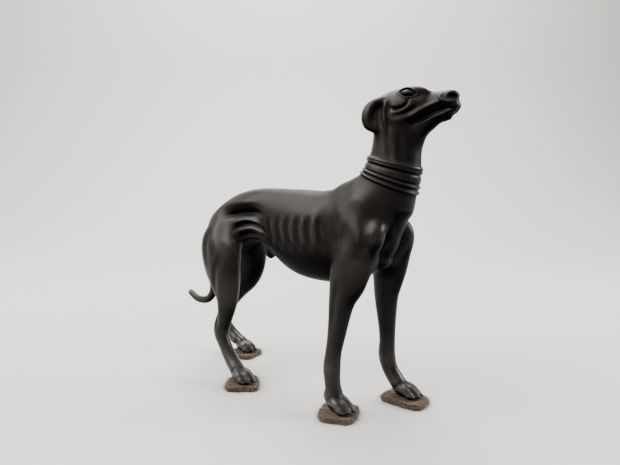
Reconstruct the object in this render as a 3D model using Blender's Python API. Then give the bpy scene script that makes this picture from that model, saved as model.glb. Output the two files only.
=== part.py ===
# Small cast greyhound, standing with its head raised, on four hand-cut felt pads.
# Metres, +Z up, +X the way the dog faces, +Y its left side. The origin is under the middle of
# the whole figure, on the surface that the pads stand on.
import math

import bmesh
import bpy
import numpy as np
from mathutils import Matrix, Vector

# Driving sizes, in metres.
FIGURE_HEIGHT = 0.1667        # sole to the top of the skull
FELT_THICKNESS = 0.003
FELT_WIDTH = 0.0195           # across a pad
SOLE_GAP = 0.0003             # clearance between a paw and its pad
CLAY_GRAIN = 0.0008           # voxel size in which the clay masses are fused
CAST_FACES = 8600             # triangles kept in the cast figure

# The figure is a free form. Its stations are shares of its height, in hundredths,
# measured from the point on the ground between the two front paws.
SHARE = FIGURE_HEIGHT / 100
RIGHT, LEFT, BOTH = -1, 1, 0
FORWARD, SIDE, UP = Vector((1, 0, 0)), Vector((0, 1, 0)), Vector((0, 0, 1))

RING_SIDES = 28
STEPS = 5                     # rings between two stations
DOME_RINGS = 4                # rings that round off an end
BALL_SIDES, BALL_RINGS = 24, 14

# A station is (x, y, z, depth, width, egg): the middle of a ring, its half depth in the plane of
# the dog's profile, its half width across the dog, and how much wider its upper or front half is.
TRUNK = [
    (-74.6, 0, 53.2, 6.2, 5.4, 0.0),
    (-70.3, 0, 54.4, 8.6, 8.0, 0.0),
    (-63.6, 0, 56.9, 10.1, 8.9, 0.0),
    (-56.4, 0, 59.5, 10.7, 8.0, 0.05),
    (-49.0, 0, 60.9, 10.4, 7.8, 0.1),
    (-42.0, 0, 60.0, 11.4, 7.8, 0.12),
    (-35.5, 0, 57.6, 13.9, 8.4, 0.15),
    (-28.0, 0, 54.9, 15.7, 9.2, 0.18),
    (-20.0, 0, 53.7, 15.8, 9.6, 0.2),
    (-12.0, 0, 54.2, 15.9, 9.4, 0.2),
    (-5.0, 0, 54.0, 13.2, 8.2, 0.15),
    (0.5, 0, 53.0, 10.4, 6.8, 0.0),
    (3.5, 0, 52.0, 7.0, 5.0, 0.0),
]
NECK = [
    (-12.0, 0, 57.0, 12.4, 8.0, 0.0),
    (-4.6, 0, 61.2, 12.1, 8.8, 0.0),
    (2.3, 0, 66.3, 11.2, 8.6, 0.0),
    (5.3, 0, 71.5, 9.5, 7.8, 0.0),
    (6.95, 0, 77.4, 8.7, 7.0, 0.0),
    (7.5, 0, 83.0, 7.7, 6.5, 0.0),
    (7.4, 0, 88.5, 7.2, 6.1, 0.0),
    (7.0, 0, 92.5, 6.4, 5.4, 0.0),
]
HEAD = [
    (1.6, 0, 93.0, 3.8, 4.0, 0.0),
    (4.3, 0, 93.2, 5.5, 5.6, 0.0),
    (8.0, 0, 93.0, 6.5, 6.1, 0.0),
    (12.0, 0, 92.9, 6.2, 5.7, 0.0),
    (15.6, 0, 93.0, 5.6, 4.6, 0.05),
    (19.0, 0, 92.7, 4.5, 3.7, 0.15),
    (22.5, 0, 93.1, 3.9, 3.2, 0.18),
    (24.6, 0, 93.5, 3.6, 2.9, 0.1),
]
JAW = [
    (7.0, 0, 87.0, 3.6, 4.2, 0.0),
    (12.0, 0, 86.0, 3.8, 3.6, 0.0),
    (16.4, 0, 87.5, 3.0, 2.6, 0.0),
    (20.4, 0, 89.6, 2.0, 2.0, 0.0),
    (23.9, 0, 90.2, 1.9, 1.6, 0.0),
]
TAIL = [
    (-71.8, 0, 57.0, 3.4, 3.0, 0.0),
    (-76.6, 0, 52.8, 3.0, 2.7, 0.0),
    (-78.8, 0, 46.0, 2.5, 2.3, 0.0),
    (-78.6, 0, 38.5, 2.1, 2.0, 0.0),
    (-77.4, 0, 32.6, 1.9, 1.85, 0.0),
    (-78.0, 0, 27.4, 1.8, 1.75, 0.0),
    (-81.8, 0, 24.0, 1.75, 1.65, 0.0),
    (-88.0, 0, 23.6, 1.6, 1.5, 0.0),
    (-93.4, 0, 26.2, 1.5, 1.4, 0.0),
]
RIGHT_FORELEG = [
    (-1.6, -8.0, 51.0, 7.0, 4.6, 0.0),
    (-2.9, -8.8, 45.5, 7.1, 4.4, 0.0),
    (-4.4, -9.2, 40.0, 6.5, 4.0, 0.0),
    (-5.9, -9.7, 34.5, 4.6, 3.5, 0.0),
    (-6.7, -10.1, 28.8, 3.7, 3.0, 0.0),
    (-7.4, -10.4, 23.5, 3.2, 2.6, 0.0),
    (-8.3, -10.7, 18.0, 2.8, 2.4, 0.0),
    (-8.8, -10.9, 12.8, 3.0, 2.7, 0.0),
    (-8.4, -11.1, 8.0, 2.65, 2.6, 0.0),
    (-7.4, -11.3, 4.0, 2.9, 2.9, 0.0),
]
LEFT_FORELEG = [
    (2.6, 8.2, 51.5, 6.6, 4.8, 0.0),
    (1.6, 9.1, 45.5, 6.3, 4.5, 0.0),
    (0.3, 9.5, 40.0, 5.7, 4.0, 0.0),
    (-0.5, 9.7, 34.5, 4.5, 3.5, 0.0),
    (-0.6, 10.1, 28.8, 3.8, 3.0, 0.0),
    (-0.5, 10.4, 23.5, 3.2, 2.6, 0.0),
    (-0.5, 10.7, 18.0, 2.9, 2.4, 0.0),
    (-0.7, 10.9, 12.8, 3.1, 2.7, 0.0),
    (0.5, 11.1, 8.2, 2.8, 2.6, 0.0),
    (3.2, 11.3, 4.4, 2.8, 2.9, 0.0),
]
RIGHT_HINDLEG = [
    (-63.2, -5.6, 56.4, 7.6, 4.4, 0.0),
    (-63.9, -7.5, 50.0, 10.7, 5.4, 0.0),
    (-61.9, -8.9, 42.5, 9.8, 5.1, 0.0),
    (-59.0, -10.0, 35.2, 7.3, 4.3, 0.0),
    (-57.4, -10.8, 28.8, 5.1, 3.5, 0.0),
    (-58.3, -11.3, 22.4, 3.8, 2.8, 0.0),
    (-59.9, -11.6, 16.4, 3.5, 2.6, 0.0),
    (-57.3, -12.0, 11.4, 2.7, 2.4, 0.0),
    (-53.6, -12.4, 6.8, 2.6, 2.6, 0.0),
    (-50.4, -12.7, 4.2, 2.6, 2.9, 0.0),
]
LEFT_HINDLEG = [
    (-63.2, 5.6, 56.4, 7.6, 4.4, 0.0),
    (-64.4, 7.4, 49.5, 10.3, 5.2, 0.0),
    (-65.6, 9.0, 42.0, 9.4, 4.9, 0.0),
    (-68.7, 10.3, 35.0, 7.5, 4.2, 0.0),
    (-74.0, 11.2, 28.2, 4.8, 3.3, 0.0),
    (-79.2, 11.8, 22.0, 3.3, 2.7, 0.0),
    (-83.8, 12.1, 16.4, 2.9, 2.6, 0.0),
    (-84.1, 12.4, 11.4, 2.6, 2.4, 0.0),
    (-80.8, 12.7, 7.2, 2.8, 2.7, 0.0),
    (-76.6, 12.9, 4.4, 2.7, 2.9, 0.0),
]
BREAST = [
    (3.6, 0, 68.0, 8.8, 7.0, 0.0),
    (5.1, 0, 64.5, 8.7, 7.0, 0.0),
    (4.6, 0, 61.0, 7.4, 6.2, 0.0),
    (4.4, 0, 57.2, 5.5, 5.4, 0.0),
    (3.7, 0, 53.5, 5.1, 4.9, 0.0),
    (3.2, 0, 50.4, 4.7, 4.4, 0.0),
]
# Mirrored to both sides.
SHOULDER = [
    (-12.0, -3.0, 68.6, 5.4, 2.6, 0.0),
    (-7.6, -5.6, 63.6, 6.8, 3.6, 0.0),
    (-3.2, -7.4, 58.4, 6.8, 4.0, 0.0),
    (1.4, -8.4, 53.0, 5.6, 4.0, 0.0),
]
EAR = [
    (6.6, -4.0, 96.0, 1.4, 1.2, 0.0),
    (4.4, -5.2, 95.0, 2.0, 1.3, 0.0),
    (2.3, -6.2, 93.4, 2.6, 1.2, 0.0),
    (1.6, -6.7, 91.2, 2.8, 1.1, 0.0),
    (2.2, -6.6, 88.6, 2.5, 1.0, 0.0),
    (3.6, -6.0, 86.4, 1.4, 0.9, 0.0),
]

# Balls of clay: centre, half sizes, turns about x, y and z in degrees. All are mirrored.
MASSES = [
    ((2.8, -0.9, 46.4), (3.7, 2.9, 2.7), (0, 0, 0)),         # end of the breastbone
    ((0.6, -5.2, 48.0), (4.6, 3.4, 5.8), (0, 10, 0)),        # pectoral muscle
    ((1.2, -3.4, 60.0), (8.4, 5.4, 6.6), (0, 20, 0)),        # root of the neck
    ((-0.8, -6.5, 63.2), (7.0, 3.8, 7.2), (0, 30, 0)),       # front of the shoulder blade
    ((-3.2, -4.4, 68.2), (5.4, 3.3, 5.6), (0, 40, 0)),       # side of the withers
    ((3.8, -4.6, 90.6), (2.6, 1.5, 4.4), (0, 0, 0)),         # hollow of the ear
    ((8.6, -3.9, 90.2), (4.6, 2.6, 4.4), (0, 0, 0)),         # cheek
    ((14.6, -3.0, 97.2), (4.4, 1.6, 1.7), (0, 6, 12)),       # brow
    ((24.4, -1.1, 92.2), (2.7, 1.8, 2.3), (0, -8, 5)),       # upper lip
    ((24.7, -0.8, 94.8), (2.2, 1.8, 2.0), (0, 0, 0)),        # nose
    ((11.8, -1.2, 84.3), (4.8, 3.2, 4.8), (0, 36, 0)),       # throat
    ((-62.6, -6.6, 59.6), (2.8, 1.8, 2.6), (0, 0, 0)),       # hip bone
    ((-57.2, -6.8, 55.4), (2.4, 1.6, 2.8), (0, 0, 0)),
]
ODD_MASSES = [
    ((-8.3, -9.6, 43.0), (2.2, 2.0, 4.2), (0, -14, 0)),      # elbows
    ((-4.8, 9.8, 43.4), (2.2, 2.0, 4.2), (0, -10, 0)),
    ((4.9, -8.2, 54.4), (3.2, 3.4, 5.6), (0, 12, 0)),        # points of the shoulders
    ((6.5, 8.0, 53.2), (3.9, 3.6, 7.2), (0, 6, 0)),
    ((-45.0, 0, 46.8), (2.9, 2.1, 3.6), (0, -24, 0)),        # under the groin
]

# Paws: heel x, y, and the way the paw points in degrees.
PAWS = {
    "front_right": (-8.4, -11.4, -4.0),
    "front_left": (3.4, 11.4, 4.0),
    "hind_right": (-50.2, -12.8, -3.0),
    "hind_left": (-74.8, 13.0, 3.0),
}
# Felt pads: middle x, y, length and width in metres, turn in degrees, seed of the uneven edge.
PAD_SIDES = 40
PAD_SQUARENESS = 4.5
PADS = {
    "felt_pad_front_right": (-6.0 * SHARE, -11.4 * SHARE, FELT_WIDTH, FELT_WIDTH, 18, 1.0),
    "felt_pad_front_left": (6.2 * SHARE, 11.3 * SHARE, 1.25 * FELT_WIDTH, 0.92 * FELT_WIDTH, -4, 2.1),
    "felt_pad_hind_right": (-47.2 * SHARE, -12.8 * SHARE, FELT_WIDTH, FELT_WIDTH, 40, 3.3),
    "felt_pad_hind_left": (-72.0 * SHARE, 12.9 * SHARE, 1.05 * FELT_WIDTH, FELT_WIDTH, 8, 4.6),
}
# Toes: sideways, reach ahead of the heel, turn outward.
TOES = [(-2.55, 4.5, -9.0), (-0.95, 6.2, -3.0), (0.95, 6.2, 3.0), (2.55, 4.5, 9.0)]

# Chisel strokes on the sides: side, least distance from the middle, width, height (below zero is a
# groove), then the path as x, z pairs.
STROKES = [
    (BOTH, 3.0, 2.6, -1.5, [(-67.0, 60.2), (-62, 62.0), (-54, 62.8), (-47, 62.4), (-40.0, 60.2)]),
    (BOTH, 3.0, 1.1, -1.8, [(-64.0, 60.4), (-59, 61.3), (-53, 61.8), (-46.5, 61.8), (-40.0, 60.6)]),
    (BOTH, 3.0, 1.4, 0.6, [(-65.0, 64.0), (-58, 65.2), (-51, 65.6), (-43.0, 65.2)]),
    (BOTH, 2.0, 0.8, 0.75, [(-58.0, 56.4), (-54.6, 58.4), (-49.6, 59.3), (-44.6, 58.3), (-39.0, 55.6)]),
    (BOTH, 2.0, 0.65, -1.0, [(-57.4, 54.6), (-53.6, 56.6), (-48.6, 57.5), (-43.8, 56.3), (-39.4, 53.6)]),
    (BOTH, 2.0, 0.8, 0.75, [(-56.6, 53.0), (-53.0, 55.1), (-48.0, 55.9), (-43.4, 54.5), (-39.4, 51.8)]),
    (BOTH, 2.0, 0.65, -1.0, [(-56.0, 51.2), (-52.6, 53.2), (-48.4, 53.8), (-44.2, 52.5), (-39.8, 49.8)]),
    (BOTH, 2.0, 0.8, 0.6, [(-55.4, 49.6), (-52.4, 51.6), (-48.8, 52.1), (-44.2, 50.8), (-39.8, 48.2)]),
    (BOTH, 3.0, 1.5, -0.35, [(-63.0, 60.0), (-61.4, 56.6), (-59.8, 51.4), (-57.8, 47.2), (-55.6, 42.0)]),
    (BOTH, 3.0, 1.3, 0.35, [(-59.4, 57.4), (-56.8, 53.2), (-53.9, 47.7), (-53.0, 42.3)]),
    (BOTH, 3.0, 1.8, -0.45, [(-66.5, 58.0), (-67.5, 52.0), (-67.0, 46.0), (-64.0, 38.0)]),
    (BOTH, 3.0, 2.0, -0.35, [(-15.4, 66.0), (-14.0, 61.0), (-13.2, 54.0), (-12.6, 47.0), (-11.0, 39.0)]),
    (BOTH, 3.0, 1.6, -0.4, [(-3.4, 60.0), (-6.2, 52.0), (-8.8, 43.0)]),
    (BOTH, 5.0, 1.6, -0.5, [(1.8, 63.0), (2.9, 57.5), (2.6, 52.0), (1.0, 46.5)]),
    (BOTH, 1.5, 1.0, -0.45, [(6.6, 90.0), (8.0, 82.0), (9.6, 76.0)]),
    (BOTH, 1.5, 1.1, -0.5, [(10.6, 87.0), (11.8, 81.0), (12.6, 75.0)]),
    (BOTH, 2.5, 0.6, 0.55, [(6.9, 97.0), (6.5, 91.0), (7.2, 84.0)]),
    (BOTH, 2.5, 0.7, -0.45, [(8.1, 96.0), (7.8, 91.0), (8.4, 85.0)]),
    (RIGHT, 8.0, 1.1, -0.7, [(-61.6, 31.0), (-60.8, 24.0), (-59.8, 16.0)]),
    (LEFT, 8.0, 1.1, -0.7, [(-75.4, 30.0), (-79.0, 23.0), (-81.6, 16.0)]),
    (RIGHT, 6.0, 1.4, -0.5, [(-58.0, 47.0), (-60.8, 39.0), (-60.6, 29.0)]),
    (LEFT, 6.0, 1.4, -0.5, [(-64.0, 47.0), (-69.0, 39.0), (-74.0, 31.0)]),
    (RIGHT, 6.5, 1.2, -0.45, [(-4.6, 43.0), (-7.0, 33.0), (-8.4, 22.0)]),
    (LEFT, 6.5, 1.2, -0.45, [(-1.0, 43.0), (-1.2, 33.0), (-0.8, 22.0)]),
    (BOTH, 0.0, 0.45, -0.65, [(12.6, 87.6), (15.4, 88.6), (18.4, 89.7), (21.6, 90.7), (25.0, 91.2), (30.0, 91.2)]),
    (BOTH, 0.0, 0.45, 0.25, [(13.8, 87.0), (18, 88.7), (21.2, 89.8), (26.0, 90.4)]),
    (BOTH, 0.6, 0.7, 0.5, [(11.6, 88.6), (15.0, 90.4), (19.8, 92.6), (24.8, 93.6)]),
    (BOTH, 0.6, 1.1, -0.7, [(13.6, 88.6), (17.4, 89.9), (21.4, 91.3), (26.8, 91.8)]),
    (BOTH, 2.0, 0.5, -0.7, [(14.0, 95.8), (12.8, 93.3), (10.2, 92.4), (7.2, 93.4)]),
    (BOTH, 2.0, 0.8, -0.5, [(17.4, 94.0), (14.6, 91.8), (11.6, 90.6), (7.6, 90.2)]),
    (BOTH, 1.4, 1.4, -0.3, [(17.6, 95.6), (20.0, 95.3), (23.0, 95.2)]),
    (BOTH, 0.9, 0.65, -1.1, [(24.2, 95.2), (25.6, 94.7), (27.4, 94.2)]),
    (BOTH, 0.9, 0.5, 0.5, [(22.3, 96.8), (22.3, 94.4), (24.0, 93.1), (26.8, 93.2)]),
    (BOTH, 4.6, 1.2, -1.5, [(6.2, 95.4), (4.4, 93.2), (3.7, 90.6), (3.9, 86.4)]),
]
BODY_SOFTNESS, LEG_SOFTNESS, HEAD_SOFTNESS, PAW_SOFTNESS = 0.52, 0.1, 0.05, 0.02
STROKE_FADE = 0.35            # share of a stroke's length over which it fades at each end
RIB_COUNT = 5
RIB_FRONT, RIB_STEP = -15.2, 4.7
RIB_GROOVE, RIB_RIDGE = (0.75, -0.55), (0.8, 0.28)       # width and height of a stroke
EYE = (13.0, 96.9, 2.1, 0.95, -14.0)      # middle x, z, half length, half height, tilt
COLLAR_FOOT = ((-4.9, 75.2), (14.9, 66.9))
COLLAR_HEAD = ((-2.2, 80.4), (15.8, 75.6))
# Collar profile: share of its height, width of the rounding, height.
COLLAR_RIDGES = [(0.05, 0.045, 0.32), (0.27, 0.045, 0.34), (0.355, 0.04, -0.32), (0.16, 0.05, -0.35),
                 (0.69, 0.04, -0.42), (0.78, 0.05, 0.2), (0.90, 0.06, 0.25)]


def point(station):
    return Vector(station[:3]) * SHARE


def mirrored(stations):
    return [(row[0], -row[1], *row[2:]) for row in stations]


def catmull(a, b, c, d, t):
    """The value at share t between b and c of a smooth curve through a, b, c and d."""
    return 0.5 * (2 * b + (c - a) * t + (2 * a - 5 * b + 4 * c - d) * t**2
                  + (3 * b - a - 3 * c + d) * t**3)


def smooth_rows(stations, steps):
    """The stations with smooth steps between each two."""
    rows = np.array(stations, float)
    padded = np.vstack([2 * rows[0] - rows[1], rows, 2 * rows[-1] - rows[-2]])
    made = []
    for i in range(1, len(padded) - 2):
        for step in range(steps):
            made.append(catmull(*padded[i - 1:i + 3], step / steps))
    made.append(rows[-1])
    return made


def ring(bm, centre, along, depth, width, egg):
    """One ring of vertices across the direction along."""
    across = (SIDE - along * SIDE.dot(along)).normalized()
    fore = along.cross(across).normalized()
    verts = []
    for i in range(RING_SIDES):
        angle = 2 * math.pi * i / RING_SIDES
        wide = width * (1 + egg * math.sin(angle))
        offset = across * math.cos(angle) * wide + fore * math.sin(angle) * depth
        verts.append(bm.verts.new(centre + offset))
    return verts


def dome(bm, row, centre, out, along):
    """Shrinking rings and a tip that round off the end of a tube."""
    bulge = 0.55 * min(row[3], row[4]) * SHARE
    rings = []
    for i in range(1, DOME_RINGS):
        lean = math.pi / 2 * i / DOME_RINGS
        middle = centre + out * bulge * math.sin(lean)
        shrink = math.cos(lean) * SHARE
        rings.append(ring(bm, middle, along, row[3] * shrink, row[4] * shrink, row[5]))
    return rings, bm.verts.new(centre + out * bulge)


def loft(bm, stations):
    """A closed tube of smooth rings through the stations, rounded off at both ends."""
    rows = smooth_rows(stations, STEPS)
    centres = [point(row) for row in rows]
    start_out = (centres[0] - centres[1]).normalized()
    end_out = (centres[-1] - centres[-2]).normalized()
    start_rings, start_tip = dome(bm, rows[0], centres[0], start_out, -start_out)
    end_rings, end_tip = dome(bm, rows[-1], centres[-1], end_out, end_out)
    rings = list(reversed(start_rings))
    for i, row in enumerate(rows):
        before, after = centres[max(i - 1, 0)], centres[min(i + 1, len(rows) - 1)]
        along = (after - before).normalized()
        rings.append(ring(bm, centres[i], along, row[3] * SHARE, row[4] * SHARE, row[5]))
    rings.extend(end_rings)
    skin(bm, rings, (start_tip, end_tip))


def skin(bm, rings, tips):
    """Joins rings of vertices into a closed tube that ends in the two tips."""
    sides = len(rings[0])
    for a, b in zip(rings, rings[1:]):
        for i in range(sides):
            j = (i + 1) % sides
            bm.faces.new((a[i], a[j], b[j], b[i]))
    for tip, end_ring in zip(tips, (rings[0], rings[-1])):
        for i in range(sides):
            bm.faces.new((tip, end_ring[i], end_ring[(i + 1) % sides]))


def ball(bm, centre, radii, turns):
    """A ball of clay with three half sizes, turned about x, then y, then z."""
    matrix = Matrix.Translation(Vector(centre) * SHARE)
    for axis, angle in (("Z", turns[2]), ("Y", turns[1]), ("X", turns[0])):
        matrix = matrix @ Matrix.Rotation(math.radians(angle), 4, axis)
    matrix = matrix @ Matrix.Diagonal((*(Vector(radii) * SHARE), 1))
    rings = []
    for i in range(1, BALL_RINGS):
        lean = math.pi * i / BALL_RINGS
        verts = []
        for k in range(BALL_SIDES):
            turn = 2 * math.pi * k / BALL_SIDES
            place = Vector((math.sin(lean) * math.cos(turn), math.sin(lean) * math.sin(turn), math.cos(lean)))
            verts.append(bm.verts.new(matrix @ place))
        rings.append(verts)
    skin(bm, rings, (bm.verts.new(matrix @ UP), bm.verts.new(matrix @ -UP)))


def paw(bm, heel_x, y, turn):
    """A palm and four toes with claws."""
    yaw = math.radians(turn)
    ahead = Vector((math.cos(yaw), math.sin(yaw)))
    left = Vector((-math.sin(yaw), math.cos(yaw)))

    def place(forward, aside, up):
        flat = Vector((heel_x, y)) + ahead * forward + left * aside
        return flat.x, flat.y, up

    ball(bm, place(1.8, 0, 2.3), (3.6, 3.1, 2.7), (0, 6, turn))
    ball(bm, place(0.2, 0, 3.7), (3.3, 2.7, 2.7), (0, 34, turn))
    for aside, reach, outward in TOES:
        heading = (0, 14, turn + outward)
        ball(bm, place(reach - 1.9, aside * 0.92, 2.5), (2.7, 1.12, 1.75), heading)
        ball(bm, place(reach, aside, 1.35), (1.9, 1.18, 1.5), heading)
        ball(bm, place(reach + 1.9, aside * 1.06, 0.85), (0.8, 0.45, 0.6), heading)


def clay():
    """All the masses in one mesh, still overlapping."""
    bm = bmesh.new()
    for stations in (TRUNK, NECK, BREAST, HEAD, JAW, TAIL, RIGHT_FORELEG, LEFT_FORELEG,
                     RIGHT_HINDLEG, LEFT_HINDLEG, SHOULDER, mirrored(SHOULDER),
                     EAR, mirrored(EAR)):
        loft(bm, stations)
    for centre, radii, turns in MASSES:
        x, y, z = centre
        ball(bm, centre, radii, turns)
        ball(bm, (x, -y, z), radii, (-turns[0], turns[1], -turns[2]))
    for centre, radii, turns in ODD_MASSES:
        ball(bm, centre, radii, turns)
    for values in PAWS.values():
        paw(bm, *values)
    bmesh.ops.recalc_face_normals(bm, faces=bm.faces)
    mesh = bpy.data.meshes.new("greyhound")
    bm.to_mesh(mesh)
    bm.free()
    thing = bpy.data.objects.new("greyhound", mesh)
    bpy.context.collection.objects.link(thing)
    return thing


def settle(thing):
    """Makes the result of the modifiers the object's own mesh."""
    scene_now = bpy.context.evaluated_depsgraph_get()
    mesh = bpy.data.meshes.new_from_object(thing.evaluated_get(scene_now))
    thing.modifiers.clear()
    thing.data = mesh
    return mesh


def get_points(mesh):
    flat = np.empty(len(mesh.vertices) * 3)
    mesh.vertices.foreach_get("co", flat)
    return flat.reshape(-1, 3)


def set_points(mesh, points):
    mesh.vertices.foreach_set("co", points.ravel())
    mesh.update()


def get_normals(mesh):
    flat = np.empty(len(mesh.vertices) * 3)
    mesh.vertex_normals.foreach_get("vector", flat)
    return flat.reshape(-1, 3)


def relax(mesh, softness, rounds):
    """Moves each vertex toward the middle of its neighbours, by its own softness."""
    edges = np.empty(len(mesh.edges) * 2, int)
    mesh.edges.foreach_get("vertices", edges)
    a, b = edges.reshape(-1, 2).T
    points = get_points(mesh)
    count = len(points)
    neighbours = np.bincount(a, minlength=count) + np.bincount(b, minlength=count)
    for _ in range(rounds):
        total = np.empty_like(points)
        for axis in range(3):
            total[:, axis] = (np.bincount(a, points[b, axis], count)
                              + np.bincount(b, points[a, axis], count))
        middle = total / neighbours[:, None]
        points += (middle - points) * softness[:, None]
    set_points(mesh, points)


def ramp(values, low, high):
    """0 below low, 1 above high, smooth between."""
    t = np.clip((values - low) / (high - low), 0, 1)
    return t * t * (3 - 2 * t)


def path_distance(flat, path, steps=8):
    """For each flat point, its distance to a smooth path and the share of the way along it."""
    line = np.array(smooth_rows(path, steps))
    best = np.full(len(flat), 1e9)
    along = np.zeros(len(flat))
    for i, (a, b) in enumerate(zip(line, line[1:])):
        way = b - a
        t = np.clip((flat - a) @ way / max(way @ way, 1e-12), 0, 1)
        gap = flat - a - t[:, None] * way
        square = np.einsum("ij,ij->i", gap, gap)
        nearer = square < best
        best[nearer] = square[nearer]
        along[nearer] = (i + t[nearer]) / (len(line) - 1)
    return np.sqrt(best), along


def add_stroke(relief, flat, hold, width, height, path):
    """Adds one stroke, fading toward both ends, to the relief, as much as each point holds it."""
    path = np.array(path, float)
    low, high = path.min(axis=0) - 3 * width, path.max(axis=0) + 3 * width
    near = (hold > 0) & np.all((flat > low) & (flat < high), axis=1)
    distance, along = path_distance(flat[near], path)
    fade = ramp(np.minimum(along, 1 - along), 0, STROKE_FADE)
    relief[near] += height * fade * hold[near] * np.exp(-(distance / width)**2)


def add_ribs(relief, flat, hold):
    """Grooves between the ribs and low ridges on them."""
    for i in range(2 * RIB_COUNT + 1):
        x = RIB_FRONT - RIB_STEP * i / 2
        path = [(x + 0.3, 61.4), (x, 58.6), (x, 55.2), (x + 0.5, 51.6), (x + 1.4, 48.2)]
        if i % 2:
            add_stroke(relief, flat, hold, RIB_RIDGE[0], RIB_RIDGE[1], path)
        else:
            add_stroke(relief, flat, hold, RIB_GROOVE[0], RIB_GROOVE[1], path)


def eye_relief(points):
    """The eyeball, the groove round it and its lids."""
    x, z, length, height, tilt = EYE
    angle = math.radians(tilt)
    u = (points[:, 0] - x) * math.cos(angle) + (points[:, 2] - z) * math.sin(angle)
    v = (points[:, 2] - z) * math.cos(angle) - (points[:, 0] - x) * math.sin(angle)
    r = np.sqrt((u / length)**2 + (v / height)**2 * (1 + 0.6 * np.minimum((u / length)**2, 2)))
    r[np.abs(points[:, 1]) < 1.5] = 9
    ball_part = 0.42 * np.clip(1 - r * r, 0, 1)
    groove = (-0.36 - 0.16 * ramp(v, -0.4, 0.5)) * np.exp(-((r - 1.12) / 0.17)**2)
    lids = 0.27 * np.exp(-((r - 1.5) / 0.24)**2)
    return ball_part + groove + lids


def collar_relief(points):
    """The collar's bands and ridges, by the share of its height."""
    (x0, z0), (x1, z1) = COLLAR_FOOT
    (x2, z2), (x3, z3) = COLLAR_HEAD
    foot = z0 + (points[:, 0] - x0) * (z1 - z0) / (x1 - x0)
    head = z2 + (points[:, 0] - x2) * (z3 - z2) / (x3 - x2)
    share = (points[:, 2] - foot) / (head - foot)
    near = (points[:, 0] > -14) & (points[:, 0] < 24) & (points[:, 2] > 60) & (points[:, 2] < 88)
    share[~near] = -9
    relief = 0.45 * ramp(share, -0.05, 0.03) * (1 - ramp(share, 0.96, 1.04))
    for middle, width, height in COLLAR_RIDGES:
        relief += height * np.exp(-((share - middle) / width)**2)
    return relief


def chest_relief(points):
    """Furrow and ridges down the front of the chest, seen from ahead."""
    flat = points[:, 1:]
    front = ramp(points[:, 0], -2, 1) * (points[:, 2] < 66)
    relief = np.zeros(len(points))
    add_stroke(relief, flat, front, 0.7, -0.3, [(0.4, 52), (0.3, 48), (0, 43)])
    for side in (RIGHT, LEFT):
        add_stroke(relief, flat, front, 1.0, -0.9,
                   [(side * 5.6, 60), (side * 5.0, 55), (side * 4.5, 50), (side * 3.6, 45), (side * 2.6, 41)])
        add_stroke(relief, flat, front, 0.8, 0.3, [(side * 3.9, 58), (side * 3.5, 53), (side * 3.0, 48)])
    return relief


def carve(mesh):
    """Cuts the strokes into the fused clay."""
    points = get_points(mesh) / SHARE
    normals = get_normals(mesh)
    flat = points[:, [0, 2]]
    out = np.abs(points[:, 1])
    outward = ramp(normals[:, 1] * np.sign(points[:, 1]), 0.05, 0.45)
    relief = eye_relief(points) + collar_relief(points) + chest_relief(points)
    for side, least, width, height, path in STROKES:
        hold = ramp(out, least - 0.8, least + 0.8) if least else np.ones(len(out))
        if least >= 2:
            hold = hold * outward
        if side != BOTH:
            hold = hold * (points[:, 1] * side > 0)
        add_stroke(relief, flat, hold, width, height, path)
    add_ribs(relief, flat, ramp(out, 2, 4) * outward)
    set_points(mesh, (points + normals * relief[:, None]) * SHARE)


def softness_of(points):
    """How much each place is smoothed: the body most, the legs less, the head and paws least."""
    x, y, z = (points / SHARE).T
    below_head = 1 - ramp(z, 84, 88)
    leg = ramp(z, 3.2, 7) * below_head
    body = ramp(z, 34, 44) * below_head
    tail = 1 - ramp(x, -77, -74)
    keen = np.where(z > 50, HEAD_SOFTNESS, PAW_SOFTNESS)
    return keen + (LEG_SOFTNESS - keen) * leg + (BODY_SOFTNESS - LEG_SOFTNESS) * body * (1 - 0.6 * tail)


def model_dog():
    dog = clay()
    fuse = dog.modifiers.new("fuse", "REMESH")
    fuse.mode = "VOXEL"
    fuse.voxel_size = CLAY_GRAIN
    mesh = settle(dog)
    relax(mesh, softness_of(get_points(mesh)), 60)
    carve(mesh)
    relax(mesh, np.full(len(mesh.vertices), 0.25), 2)
    points = get_points(mesh)
    points[:, 2] = np.maximum(points[:, 2], 0)
    set_points(mesh, points)
    return dog


def pad_object(name, middle_x, middle_y, length, width, turn, seed):
    """A felt pad cut by hand: a square with soft corners, uneven edges and a slightly narrower top."""
    yaw = math.radians(turn)
    rings = []
    bm = bmesh.new()
    levels = ((0.0, 0.985), (0.12, 1.0), (0.85, 0.99), (1.0, 0.96))
    for rise, spread in levels:
        verts = []
        for i in range(PAD_SIDES):
            angle = 2 * math.pi * i / PAD_SIDES
            c, s = math.cos(angle), math.sin(angle)
            square = (abs(c)**PAD_SQUARENESS + abs(s)**PAD_SQUARENESS)**(-1 / PAD_SQUARENESS)
            ragged = 1 + 0.035 * math.sin(3 * angle + seed) + 0.02 * math.sin(7 * angle + 2.3 * seed)
            u = c * square * ragged * spread * length / 2
            v = s * square * ragged * spread * width / 2
            x = middle_x + u * math.cos(yaw) - v * math.sin(yaw)
            y = middle_y + u * math.sin(yaw) + v * math.cos(yaw)
            verts.append(bm.verts.new((x, y, rise * FELT_THICKNESS)))
        rings.append(verts)
    for low, high in zip(rings, rings[1:]):
        for i in range(PAD_SIDES):
            j = (i + 1) % PAD_SIDES
            bm.faces.new((low[i], low[j], high[j], high[i]))
    bm.faces.new(list(reversed(rings[0])))
    bm.faces.new(rings[-1])
    mesh = bpy.data.meshes.new(name)
    bm.to_mesh(mesh)
    bm.free()
    pad = bpy.data.objects.new(name, mesh)
    bpy.context.collection.objects.link(pad)
    return pad


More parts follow.
